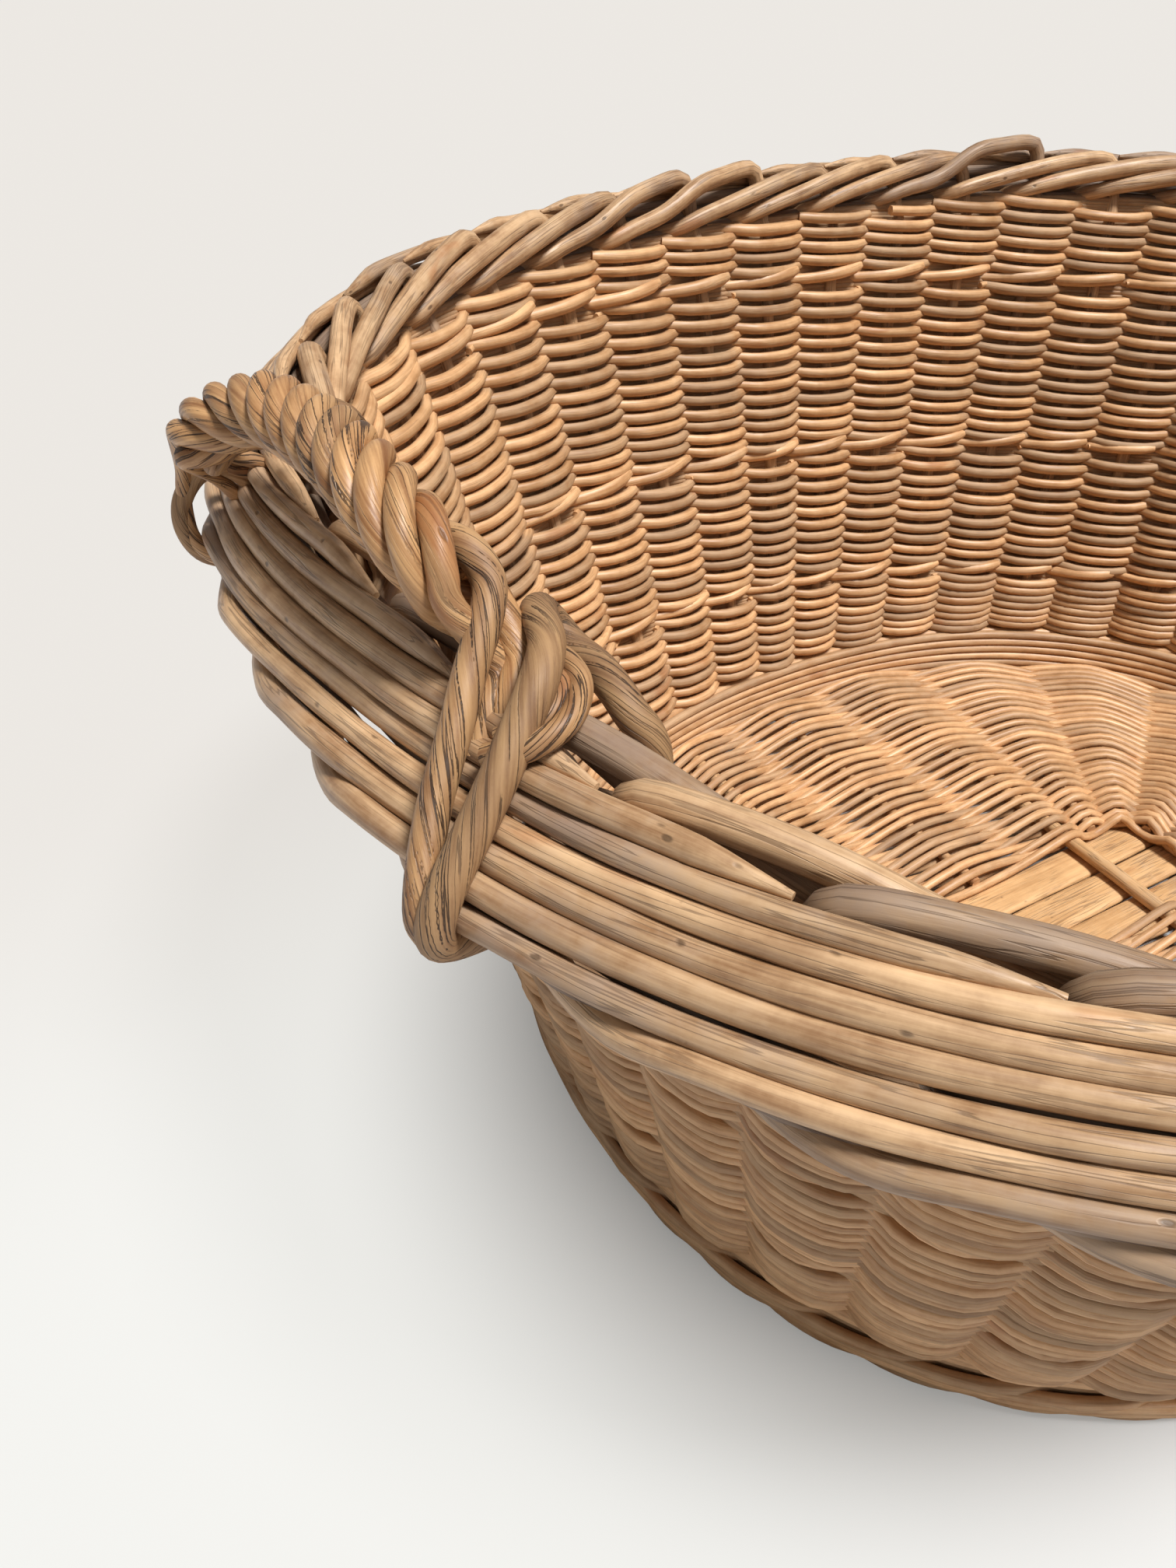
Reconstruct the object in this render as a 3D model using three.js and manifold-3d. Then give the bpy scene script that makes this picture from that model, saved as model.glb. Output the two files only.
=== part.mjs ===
// Oval willow laundry basket: millimetres, +Z up, long axis along X, standing on z = 0.
// Each stake is one willow rod. It stands in the wall, bends over at the rim and runs on in the rolled border.
import * as THREE from 'three';
import { mergeVertices } from 'three/addons/utils/BufferGeometryUtils.js';
import Module from 'manifold-3d';

const wasm = await Module();
wasm.setup();

// Driving sizes of the basket
const stakeCount = 44;
const stakePhase = 0.08;
const rimHalfLength = 319;
const rimHalfWidth = 275;
const rimCorner = 2.46;
const rimHeight = 304;
const rimDip = 7.5;
const baseHalfLength = 264.6;
const baseHalfWidth = 230.2;
const baseCorner = 2.17;
const rodRadius = 3.65;
const faceRodRadius = 2.6;
const rodSides = 5;
const faceTop = new THREE.Vector2(20.7, -1.5);
const brimEnds = 45.7;
const brimSides = 33.5;
const brimDrop = 26.5;
const clearance = 0.5;
const footHeight = 9.5;
const footWidth = 12.3;

// Wall sizes
const wallRib = 8;
const wallRibHalf = 4.5;
const wallThin = 3;
const wallTopDrop = 29;
const wallTopOut = 3;
const stakeInset = 8;
const straightAboveWall = 2;
const lowerWeaveTop = 76;
const middleWeaveTop = 157;
const seamGap = 0.3;

// Base sizes
const baseInset = footWidth + 2 * seamGap;
const baseInsetInWall = 17;
const slathHalfWidth = 33.5;
const slathHalfLength = 100;
const slathCorner = 8;
const longStickCount = 3;
const longStickWidth = 21.8;
const longStickThickness = 4.5;
const longStickTop = 9.1;
const crossStickRadius = 4;
const crossStickMiddle = -14;
const crossStickSpacing = 70;
const baseMiddle = longStickTop + 0.6 + crossStickRadius;
const baseRib = 6.9;
const baseThin = 2.4;

// Handle sizes
const ropeRadius = 10.3;
const strandRadius = 3.7;
const ropeSides = 8;
const handleMiddle = 21.45;
const handleRise = 33;
const lashingSides = 6;

const willow = new THREE.MeshStandardMaterial({ color: 0xb98a55, roughness: 0.62, metalness: 0 });
const paleWillow = new THREE.MeshStandardMaterial({ color: 0xcaa273, roughness: 0.6, metalness: 0 });
const handleWillow = new THREE.MeshStandardMaterial({ color: 0xc39a5c, roughness: 0.58, metalness: 0 });

const group = new THREE.Group();

function add(name, geometry, material) {
  const mesh = new THREE.Mesh(geometry, material);
  mesh.name = name;
  group.add(mesh);
}

// Plan outlines are superellipses, walked by stations: one station for each stake, at equal steps of rim length
function outlinePoint(halfLength, halfWidth, corner, angle) {
  const c = Math.cos(angle);
  const s = Math.sin(angle);
  const x = halfLength * Math.sign(c) * Math.abs(c) ** (2 / corner);
  const y = halfWidth * Math.sign(s) * Math.abs(s) ** (2 / corner);
  return new THREE.Vector2(x, y);
}

// Gives the angle on an outline at a share of its length
function walk(halfLength, halfWidth, corner) {
  const steps = 4000;
  const lengths = [0];
  for (let i = 1; i <= steps; i++) {
    const a = outlinePoint(halfLength, halfWidth, corner, (2 * Math.PI * (i - 1)) / steps);
    const b = outlinePoint(halfLength, halfWidth, corner, (2 * Math.PI * i) / steps);
    lengths.push(lengths[i - 1] + a.distanceTo(b));
  }
  return (share) => {
    const turns = Math.floor(share);
    const wanted = (share - turns) * lengths[steps];
    let low = 0;
    let high = steps;
    while (high - low > 1) {
      const middle = (low + high) >> 1;
      if (lengths[middle] > wanted) high = middle;
      else low = middle;
    }
    const part = (wanted - lengths[low]) / (lengths[high] - lengths[low]);
    return 2 * Math.PI * (turns + (low + part) / steps);
  };
}

const rimAngle = walk(rimHalfLength, rimHalfWidth, rimCorner);

function stationAngle(station) {
  return rimAngle((station + stakePhase) / stakeCount);
}

function outwardAt(halfLength, halfWidth, corner, angle) {
  const nudge = 0.002;
  const before = outlinePoint(halfLength, halfWidth, corner, angle - nudge);
  const after = outlinePoint(halfLength, halfWidth, corner, angle + nudge);
  const along = after.sub(before).normalize();
  return new THREE.Vector2(along.y, -along.x);
}

function rimTop(angle) {
  return rimHeight - rimDip * Math.cos(angle) ** 2;
}

// The border leans further out at the basket's ends than along its sides: past the rods on top, distances shrink
function spread(out, angle) {
  if (out <= faceTop.x) return out;
  const here = brimSides + (brimEnds - brimSides) * Math.cos(angle) ** 2;
  return faceTop.x + ((out - faceTop.x) * (here - faceTop.x)) / (brimEnds - faceTop.x);
}

// A place in the border: station along the rim, millimetres out from the inner edge and up from the rim's top
function borderPoint(station, out, up) {
  const angle = stationAngle(station);
  const edge = outlinePoint(rimHalfLength, rimHalfWidth, rimCorner, angle);
  const outward = outwardAt(rimHalfLength, rimHalfWidth, rimCorner, angle);
  const reach = spread(out, angle);
  return new THREE.Vector3(edge.x + outward.x * reach, edge.y + outward.y * reach, rimTop(angle) + up);
}

function basePoint(angle, out, z) {
  const edge = outlinePoint(baseHalfLength, baseHalfWidth, baseCorner, angle);
  const outward = outwardAt(baseHalfLength, baseHalfWidth, baseCorner, angle);
  return new THREE.Vector3(edge.x + outward.x * out, edge.y + outward.y * out, z);
}

// Builds a closed body from rings of points; joined rings make an endless tube, others get flat ends
function skin(rings, joined) {
  const sides = rings[0].length;
  const positions = [];
  for (const ring of rings) for (const p of ring) positions.push(p.x, p.y, p.z);
  const faces = [];
  const last = joined ? rings.length : rings.length - 1;
  for (let i = 0; i < last; i++) {
    const next = (i + 1) % rings.length;
    for (let j = 0; j < sides; j++) {
      const k = (j + 1) % sides;
      faces.push(i * sides + j, i * sides + k, next * sides + k);
      faces.push(i * sides + j, next * sides + k, next * sides + j);
    }
  }
  if (!joined) {
    const end = (rings.length - 1) * sides;
    for (let j = 1; j < sides - 1; j++) {
      faces.push(0, j + 1, j);
      faces.push(end, end + j, end + j + 1);
    }
  }
  const geometry = new THREE.BufferGeometry();
  geometry.setAttribute('position', new THREE.Float32BufferAttribute(positions, 3));
  geometry.setIndex(faces);
  return geometry;
}

// A round rod along points, each with its own radius; the ring's first corner is carried along without twist.
// The first end is cut level when levelStart is set, otherwise square to the rod.
function rod(points, radii, sides, levelStart) {
  const rings = [];
  let side = null;
  for (let i = 0; i < points.length; i++) {
    const before = points[Math.max(i - 1, 0)];
    const after = points[Math.min(i + 1, points.length - 1)];
    const ahead = after.clone().sub(before).normalize();
    if (i === 0 && levelStart) ahead.set(0, 0, 1);
    if (side === null) side = new THREE.Vector3(-ahead.y, ahead.z + 0.3, ahead.x);
    side.addScaledVector(ahead, -side.dot(ahead)).normalize();
    const other = ahead.clone().cross(side);
    const ring = [];
    for (let j = 0; j < sides; j++) {
      const turn = (2 * Math.PI * j) / sides;
      const p = points[i].clone();
      p.addScaledVector(side, radii[i] * Math.cos(turn));
      p.addScaledVector(other, radii[i] * Math.sin(turn));
      ring.push(p);
    }
    rings.push(ring);
  }
  return skin(rings, false);
}

// A rod that closes on itself in the plane square to flat
function loop(points, radius, sides, flat) {
  const rings = points.map((point, i) => {
    const before = points[(i + points.length - 1) % points.length];
    const after = points[(i + 1) % points.length];
    const ahead = after.clone().sub(before).normalize();
    const other = ahead.clone().cross(flat).normalize();
    const ring = [];
    for (let j = 0; j < sides; j++) {
      const turn = (2 * Math.PI * j) / sides;
      const p = point.clone();
      p.addScaledVector(flat, radius * Math.cos(turn));
      p.addScaledVector(other, radius * Math.sin(turn));
      ring.push(p);
    }
    return ring;
  });
  return skin(rings, true);
}

// The line that stake i follows in the wall: straight, from the foot to the wall's top edge
const stakeFoot = footHeight + seamGap;

function stakeFrame(i) {
  const angle = stationAngle(i);
  const outward = outwardAt(rimHalfLength, rimHalfWidth, rimCorner, angle);
  return {
    foot: basePoint(angle, -stakeInset, stakeFoot),
    top: borderPoint(i, wallTopOut, -wallTopDrop),
    outward: new THREE.Vector3(outward.x, outward.y, 0),
    along: new THREE.Vector3(-outward.y, outward.x, 0),
  };
}

function onStake(frame, z) {
  const share = (z - frame.foot.z) / (frame.top.z - frame.foot.z);
  return frame.foot.clone().lerp(frame.top, share);
}

// Side weave: a band of randing between two heights. It swells over each stake, which stands in an upright hole
function weaveBand(bottomOf, topOf) {
  const hole = rodRadius + clearance;
  const rings = [bottomOf, topOf].map((heightOf) => {
    const at = (frame, out, along) => {
      const centre = onStake(frame, heightOf(frame));
      return centre.addScaledVector(frame.outward, out).addScaledVector(frame.along, along);
    };
    const outer = [];
    const inner = [];
    const holes = [];
    for (let i = 0; i < stakeCount; i++) {
      const stake = stakeFrame(i);
      const between = stakeFrame(i + 0.5);
      outer.push(at(stake, wallRib, -wallRibHalf), at(stake, wallRib, wallRibHalf), at(between, wallThin, 0));
      inner.push(at(stake, -wallRib, -wallRibHalf), at(stake, -wallRib, wallRibHalf), at(between, -wallThin, 0));
      holes.push([at(stake, -hole, -hole), at(stake, hole, -hole), at(stake, hole, hole), at(stake, -hole, hole)]);
    }
    return [outer, inner, ...holes];
  });
  const flat = rings[0].map((ring) => ring.map((p) => new THREE.Vector2(p.x, p.y)));
  const cap = THREE.ShapeUtils.triangulateShape(flat[0], flat.slice(1));
  const all = [...rings[0].flat(), ...rings[1].flat()];
  const half = all.length / 2;
  const faces = [];
  const [first, second, third] = cap[0].map((n) => all[n]);
  const turn = second.clone().sub(first).cross(third.clone().sub(first)).z;
  for (const [a, b, c] of cap) {
    if (turn > 0) faces.push(a, c, b, half + a, half + b, half + c);
    else faces.push(a, b, c, half + a, half + c, half + b);
  }
  let start = 0;
  for (const ring of rings[0]) {
    for (let j = 0; j < ring.length; j++) {
      const a = start + j;
      const b = start + ((j + 1) % ring.length);
      if (start === 0) faces.push(a, b, half + b, a, half + b, half + a);
      else faces.push(a, half + b, b, a, half + a, half + b);
    }
    start += ring.length;
  }
  const geometry = new THREE.BufferGeometry();
  geometry.setAttribute('position', new THREE.Float32BufferAttribute(all.flatMap((p) => [p.x, p.y, p.z]), 3));
  geometry.setIndex(faces);
  return geometry;
}

const weaveBottom = stakeFoot + seamGap;
add('side_weave_lower', weaveBand(() => weaveBottom, () => lowerWeaveTop), willow);
add('side_weave_middle', weaveBand(() => lowerWeaveTop + seamGap, () => middleWeaveTop), willow);
add('side_weave_upper', weaveBand(() => middleWeaveTop + seamGap, (frame) => frame.top.z), willow);

// Foot wale: the ring of thicker rods round the base's edge that the basket stands on, flat underneath
const footChamfer = 3;
const footSection = [
  [-footWidth, footChamfer],
  [-footWidth, footHeight],
  [-footChamfer, footHeight],
  [0, footHeight - footChamfer],
  [0, footChamfer],
  [-footChamfer, 0],
  [-footWidth + footChamfer, 0],
];
const footRings = [];
const footSteps = 56;
for (let i = 0; i < footSteps; i++) {
  const angle = (2 * Math.PI * i) / footSteps;
  footRings.push(footSection.map(([out, z]) => basePoint(angle, out, z)));
}
add('foot_wale', skin(footRings, true), willow);

// Base: woven over sticks that run out from an open slath, so it swells over each stick above and below
function solid(geometry) {
  const plain = geometry.clone();
  plain.deleteAttribute('normal');
  plain.deleteAttribute('uv');
  const merged = mergeVertices(plain);
  return new wasm.Manifold(
    new wasm.Mesh({
      numProp: 3,
      vertProperties: new Float32Array(merged.attributes.position.array),
      triVerts: new Uint32Array(merged.index.array),
    }),
  );
}

function geometryOf(manifold) {
  const mesh = manifold.getMesh();
  const geometry = new THREE.BufferGeometry();
  geometry.setAttribute('position', new THREE.BufferAttribute(new Float32Array(mesh.vertProperties), 3));
  geometry.setIndex(new THREE.BufferAttribute(new Uint32Array(mesh.triVerts), 1));
  return geometry;
}

function block(width, depth, height, x, y, z) {
  const geometry = new THREE.BoxGeometry(width, depth, height);
  geometry.translate(x, y, z);
  return geometry;
}

// Shares of an oval's length at which it crosses the base sticks: three straight across each side, and a fan of
// seven round each end
const fanGaps = 8;
const sideSticks = [1, 0, -1].map((n) => crossStickMiddle + n * crossStickSpacing);

function stickShares(halfLength, halfWidth, corner) {
  const angleAt = walk(halfLength, halfWidth, corner);
  const far = sideSticks.map((x) => {
    let low = 0;
    let high = 0.5;
    for (let i = 0; i < 30; i++) {
      const middle = (low + high) / 2;
      if (outlinePoint(halfLength, halfWidth, corner, angleAt(middle)).x > x) low = middle;
      else high = middle;
    }
    return low;
  });
  const [right, , left] = far;
  const shares = [];
  for (let m = 0; m < fanGaps / 2; m++) shares.push((2 * right * m) / fanGaps);
  shares.push(...far);
  for (let m = 1; m < fanGaps; m++) shares.push(left + ((1 - 2 * left) * m) / fanGaps);
  shares.push(...far.map((share) => 1 - share).reverse());
  for (let m = 1; m < fanGaps / 2; m++) shares.push(1 - right + (2 * right * m) / fanGaps);
  return shares;
}

// One ring of the base, share 0 round the slath and 1 at its edge, with heights over a stick, beside it and between
function baseRing(share, inset, [over, beside, between]) {
  const mix = (a, b, t) => a + (b - a) * t;
  const shape = [
    mix(slathHalfLength, baseHalfLength, share),
    mix(slathHalfWidth, baseHalfWidth, share),
    1 / mix(1 / slathCorner, 1 / baseCorner, share ** 0.45),
  ];
  const shares = stickShares(...shape);
  const angleAt = walk(...shape);
  const heights = [over, beside, between, beside];
  const ring = [];
  shares.forEach((from, k) => {
    const to = k + 1 < shares.length ? shares[k + 1] : 1;
    heights.forEach((z, m) => {
      const angle = angleAt(mix(from, to, m / heights.length));
      const outward = outwardAt(...shape, angle);
      const edge = outlinePoint(...shape, angle).addScaledVector(outward, -inset);
      ring.push(new THREE.Vector3(edge.x, edge.y, z));
    });
  });
  return ring;
}

const above = [baseMiddle + baseRib, baseMiddle + (2 * baseRib + baseThin) / 3, baseMiddle + baseThin];
const below = above.map((z) => 2 * baseMiddle - z);
const level = (z) => [z, z, z];
let baseWeave = solid(
  skin(
    [
      baseRing(0, 0, below),
      baseRing(0.5, 0, below),
      baseRing(1, baseInset, level(longStickTop - longStickThickness)),
      baseRing(1, baseInset, level(footHeight - seamGap)),
      baseRing(1, baseInsetInWall, level(footHeight + seamGap)),
      baseRing(1, baseInsetInWall, above),
      baseRing(0.5, 0, above),
      baseRing(0, 0, above),
    ],
    false,
  ),
);
baseWeave = baseWeave.subtract(solid(block(2 * slathHalfLength, 2 * slathHalfWidth, 6 * baseMiddle, 0, 0, 0)));

const longStickPitch = longStickWidth + seamGap;
const longStickHalf = baseHalfLength - baseInset - 8;
const longStickMiddle = longStickTop - longStickThickness / 2;
const longGrooveWidth = longStickCount * longStickPitch + clearance;
const longGroove = [2 * longStickHalf + 1, longGrooveWidth, 2 * (longStickTop + seamGap)];
baseWeave = baseWeave.subtract(solid(block(...longGroove, 0, 0, 0)));
for (let i = 0; i < longStickCount; i++) {
  const y = (i - (longStickCount - 1) / 2) * longStickPitch;
  const stick = block(2 * longStickHalf, longStickWidth, longStickThickness, 0, y, longStickMiddle);
  add(`long_base_stick_${i + 1}`, stick, paleWillow);
}

const crossSides = 8;
for (const [i, x] of [sideSticks[2], sideSticks[0]].entries()) {
  const inset = baseInsetInWall + 2;
  const spread = 1 - (Math.abs(x) / (baseHalfLength - inset)) ** baseCorner;
  const half = (baseHalfWidth - inset) * spread ** (1 / baseCorner) - 4;
  const ends = [new THREE.Vector3(x, -half, baseMiddle), new THREE.Vector3(x, half, baseMiddle)];
  const radii = [crossStickRadius, crossStickRadius];
  add(`cross_base_stick_${i + 1}`, rod(ends, radii, crossSides, false), paleWillow);
  const hole = 2 * (crossStickRadius + clearance);
  baseWeave = baseWeave.subtract(solid(block(hole, 2 * half + 1, hole, x, 0, baseMiddle)));
}
add('base_weave', geometryOf(baseWeave), willow);

// Rolled border: centre line of one rod, as stations from its stake, millimetres out and millimetres up.
// It comes up as a head, runs along the inner edge, drops down the inside, passes out between two
// stakes under the border, turns up at the lower outer edge and climbs over the outer face to its tip. The last number is its radius.
const kink = new THREE.Vector2(brimEnds, -brimDrop);
const faceRods = 5;
const kinkStation = 3;
const borderPath = [
  [0, 7.5, -20.5, rodRadius],
  [0, 11.8, -11.5, rodRadius],
  [0.06, 13.8, -3.4, rodRadius],
  [0.25, 12.6, -0.6, rodRadius],
  [0.6, 8, -1.6, rodRadius],
  [1, 4, -4, rodRadius],
  [1.5, 2.5, -8, rodRadius],
  [2, 2.2, -12.3, 3.4],
  [2.25, 4, -15.6, 3],
  [2.45, 14, -20, faceRodRadius],
  [2.7, 26, -28, faceRodRadius],
  [2.87, 38, -31.5, faceRodRadius],
];
for (let i = 0; i <= faceRods; i++) {
  const at = kink.clone().lerp(faceTop, i / faceRods);
  borderPath.push([kinkStation + i, at.x, at.y, faceRodRadius]);
}
borderPath.push([kinkStation + faceRods + 0.3, 19.8, 0.4, 1.3]);

for (let i = 0; i < stakeCount; i++) {
  const frame = stakeFrame(i);
  const points = [frame.foot, onStake(frame, frame.top.z + straightAboveWall)];
  const radii = [rodRadius, rodRadius];
  for (const [station, out, up, radius] of borderPath) {
    points.push(borderPoint(i + station, out, up));
    radii.push(radius);
  }
  add(`stake_rod_${String(i + 1).padStart(2, '0')}`, rod(points, radii, rodSides, true), willow);
}

// Handles: a roped bow over each end of the border. At each end one strand runs on over the outer face and hooks
// under the brim, and a loop of the same rod goes round the border beside it. Ways are given as stations from the
// handle's middle, millimetres out and up, and the rope's thickness as a share of its own radius.
const tail = strandRadius / ropeRadius;
const ropeWay = [
  [-1.32, 37, -37.8, tail],
  [-1.32, 46, -35.2, tail],
  [-1.3, 51.8, -27, tail],
  [-1.3, 52.5, -15, tail],
  [-1.36, 51.5, -4, 0.55],
  [-1.48, 46.5, 7, 0.9],
  [-1.3, 37.5, 16.5, 1],
  [-0.95, 26.5, 25, 1],
  [-0.45, 21, handleRise - 1.5, 1],
  [0.05, 20, handleRise, 1],
  [0.55, 20.5, handleRise, 1],
  [0.95, 20.5, handleRise - 1, 1],
  [1.3, 18.5, 28.5, 0.97],
  [1.52, 14, 21, 0.88],
  [1.65, 11, 13.3, 0.72],
  [1.72, 17, 11.3, 0.48],
  [1.78, 24, 5.3, tail],
  [1.87, 32.5, -4, tail],
  [1.97, 41.5, -13, tail],
  [2.04, 49.5, -20.5, tail],
  [2.08, 52.5, -28, tail],
  [2.1, 48.5, -35.8, tail],
  [2.12, 39, -38.5, tail],
];
const nearLashing = [
  [2.35, 4, -23],
  [2.35, -5.5, -20],
  [2.35, -7, -11],
  [2.3, -6.5, -2],
  [2.2, -3.5, 5.5],
  [2.1, 3, 10],
  [2.05, 10, 11],
  [2.05, 17, 9],
  [2.1, 23.5, 4.3],
  [2.17, 32.5, -4.8],
  [2.24, 41.5, -13.8],
  [2.3, 50, -22],
  [2.34, 53.5, -29],
  [2.35, 49.5, -36.2],
  [2.35, 39, -39.5],
  [2.35, 27, -38],
  [2.35, 20.9, -30.8],
  [2.35, 14.3, -22.7],
];
const farLashing = nearLashing.map(([, out, up]) => [-1.65, out, up]);
for (const [side, turned] of [['left', 0], ['right', stakeCount / 2]]) {
  const place = ([at, out, up]) => borderPoint(handleMiddle + turned + at, out, up);
  const curve = new THREE.CatmullRomCurve3(ropeWay.map(place), false, 'centripetal');
  const ropeSteps = 2 * (ropeWay.length - 1);
  const points = [];
  const radii = [];
  for (let n = 0; n <= ropeSteps; n++) {
    const before = ropeWay[Math.floor(n / 2)][3];
    const after = ropeWay[Math.ceil(n / 2)][3];
    points.push(curve.getPoint(n / ropeSteps));
    radii.push((ropeRadius * (before + after)) / 2);
  }
  add(`handle_rope_${side}`, rod(points, radii, ropeSides, false), handleWillow);
  for (const [end, way] of [['near', nearLashing], ['far', farLashing]]) {
    const angle = stationAngle(handleMiddle + turned + way[0][0]);
    const outward = outwardAt(rimHalfLength, rimHalfWidth, rimCorner, angle);
    const flat = new THREE.Vector3(-outward.y, outward.x, 0);
    add(`handle_lashing_${side}_${end}`, loop(way.map(place), strandRadius, lashingSides, flat), handleWillow);
  }
}

export default group;
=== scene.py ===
import itertools
import math

import bpy
import numpy as np
from mathutils import Matrix, Vector


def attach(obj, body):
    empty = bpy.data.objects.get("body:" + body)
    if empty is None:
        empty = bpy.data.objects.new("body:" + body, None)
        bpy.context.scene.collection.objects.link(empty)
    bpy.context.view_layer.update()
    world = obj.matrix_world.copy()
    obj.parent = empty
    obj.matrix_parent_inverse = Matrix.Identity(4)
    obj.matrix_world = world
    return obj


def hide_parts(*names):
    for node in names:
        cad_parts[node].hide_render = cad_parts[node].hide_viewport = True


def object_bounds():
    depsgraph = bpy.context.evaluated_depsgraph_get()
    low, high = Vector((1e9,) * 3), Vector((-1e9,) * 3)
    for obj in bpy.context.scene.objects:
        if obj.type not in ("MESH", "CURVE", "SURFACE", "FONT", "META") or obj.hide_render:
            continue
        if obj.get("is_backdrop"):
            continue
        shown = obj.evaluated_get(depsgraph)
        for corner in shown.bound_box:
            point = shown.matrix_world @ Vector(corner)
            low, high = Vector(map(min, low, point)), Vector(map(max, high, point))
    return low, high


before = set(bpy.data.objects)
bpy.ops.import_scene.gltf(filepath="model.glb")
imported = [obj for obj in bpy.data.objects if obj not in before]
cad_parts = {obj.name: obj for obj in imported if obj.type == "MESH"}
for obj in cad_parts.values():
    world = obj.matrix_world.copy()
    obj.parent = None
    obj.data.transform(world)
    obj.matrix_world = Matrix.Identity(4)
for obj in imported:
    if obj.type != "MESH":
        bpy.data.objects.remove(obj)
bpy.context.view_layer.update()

# Camera
# Held close outside the near left of the border and above it, looking down into the basket.
# Its place, turn and focal length are those fitted to the photograph's edges.
CAMERA_PLACE = Vector((-0.42587, -0.25025, 0.44716))
CAMERA_YAW = 0.5429
CAMERA_PITCH = 0.683
CAMERA_ROLL = 0.0182
FOCAL_PIXELS = 1525.4
FRAME_HEIGHT = 2016
SENSOR = 36.0

ahead = Vector((
    math.cos(CAMERA_PITCH) * math.sin(CAMERA_YAW),
    math.cos(CAMERA_PITCH) * math.cos(CAMERA_YAW),
    -math.sin(CAMERA_PITCH),
))
level = Vector((math.cos(CAMERA_YAW), -math.sin(CAMERA_YAW), 0))
above = level.cross(ahead)
camera_right = math.cos(CAMERA_ROLL) * level + math.sin(CAMERA_ROLL) * above
camera_up = math.cos(CAMERA_ROLL) * above - math.sin(CAMERA_ROLL) * level
camera = bpy.data.objects.new("camera", bpy.data.cameras.new("camera"))
bpy.context.scene.collection.objects.link(camera)
turn = Matrix((camera_right, camera_up, -ahead)).transposed().to_4x4()
camera.matrix_world = Matrix.Translation(CAMERA_PLACE) @ turn
camera.data.sensor_width = SENSOR
camera.data.lens = FOCAL_PIXELS / FRAME_HEIGHT * SENSOR
camera.data.clip_start = 0.01
bpy.context.scene.camera = camera

# Floor and light
# A pale matt floor that runs out of sight under a soft sun, which stands high in front and a little to the
# right, in a pale room. Away from the basket the floor also glows for the camera, so it isn't evenly lit and
# the far part of the shadow fades sooner than the light alone would have it.
FLOOR_COLOUR = (0.62, 0.62, 0.62)
FLOOR_SEEN = (0.91, 0.905, 0.87)
FLOOR_FAR = (0.83, 0.795, 0.75)
FLOOR_GLOW = 0.9
FLOOR_GLOW_RAMP = (0.56, 1.06)
FLOOR_FAR_RAMP = (0.1, 1.2)
FLOOR_SHADE = (1 / 0.36, 1 / 0.31)
FLOOR_ROUGHNESS = 0.9
FLOOR_SPECULAR = 0.1
FLOOR_HALF = 8.0
ROOM_COLOUR = (1.0, 1.0, 1.0)
ROOM_STRENGTH = 0.27
DAYLIGHT = 4.35
DAYLIGHT_SPREAD = 0.25
DAYLIGHT_WAY = Vector((-0.2, 0.38, -1.0))

# Which of a node's outputs is read, where it isn't the first
ATTRIBUTE_VECTOR = 1
ATTRIBUTE_NUMBER = 2
MIXED_COLOUR = 2
OBJECT_PLACE = 3
VECTOR_LENGTH = 1
Y_PART = 1


def add_node(tree, kind, settings, values):
    """Adds a node; values are keyed by its sockets' identifiers or names, with spaces as two underscores."""
    made = tree.nodes.new(kind)
    for name, value in (settings or {}).items():
        setattr(made, name, value)
    for name, value in values.items():
        wanted = name.replace("__", " ")
        socket = next(s for s in made.inputs if s.identifier == wanted or s.name == wanted)
        if isinstance(value, bpy.types.NodeSocket):
            tree.links.new(value, socket)
        else:
            socket.default_value = value
    return made


class Wire:
    """A shader socket whose operators add Math nodes."""

    def __init__(self, tree, socket):
        self.tree = tree
        self.socket = socket

    def node(self, kind, settings=None, output=0, **values):
        """Adds a node, fed by wires or plain values, and gives one of its outputs as a wire."""
        values = {name: value.socket if isinstance(value, Wire) else value for name, value in values.items()}
        return Wire(self.tree, add_node(self.tree, kind, settings, values).outputs[output])

    def math(self, operation, other=0.0):
        return self.node("ShaderNodeMath", {"operation": operation}, Value=self, Value_001=other)

    def __add__(self, other):
        return self.math("ADD", other)

    def __sub__(self, other):
        return self.math("SUBTRACT", other)

    def __rsub__(self, other):
        return self.node("ShaderNodeMath", {"operation": "SUBTRACT"}, Value=other, Value_001=self)

    def __mul__(self, other):
        return self.math("MULTIPLY", other)

    def ramp(self, low, high):
        """0 below low, 1 above high and smooth between."""
        return self.node(
            "ShaderNodeMapRange",
            {"interpolation_type": "SMOOTHSTEP"},
            Value=self, From__Min=low, From__Max=high,
        )

    def mix(self, first, second):
        """Colours first to second, as this mask goes from 0 to 1."""
        names = {"Factor_Float": self, "A_Color": first, "B_Color": second}
        return self.node("ShaderNodeMix", {"data_type": "RGBA"}, MIXED_COLOUR, **names)

    def scaled(self, x, y, z):
        """This vector times x, y and z."""
        return self.node("ShaderNodeVectorMath", {"operation": "MULTIPLY"}, Vector=self, Vector_001=(x, y, z))

    def noise(self, scale, detail=2.0, rough=0.5):
        return self.node("ShaderNodeTexNoise", Vector=self, Scale=scale, Detail=detail, Roughness=rough)


def new_material(name):
    """A material, the wire that starts expressions in its tree, and its Principled shader."""
    material = bpy.data.materials.new(name)
    material.use_nodes = True
    tree = material.node_tree
    tree.nodes.clear()
    shader = tree.nodes.new("ShaderNodeBsdfPrincipled")
    output = tree.nodes.new("ShaderNodeOutputMaterial")
    tree.links.new(shader.outputs[0], output.inputs["Surface"])
    return material, Wire(tree, None), shader


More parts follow.
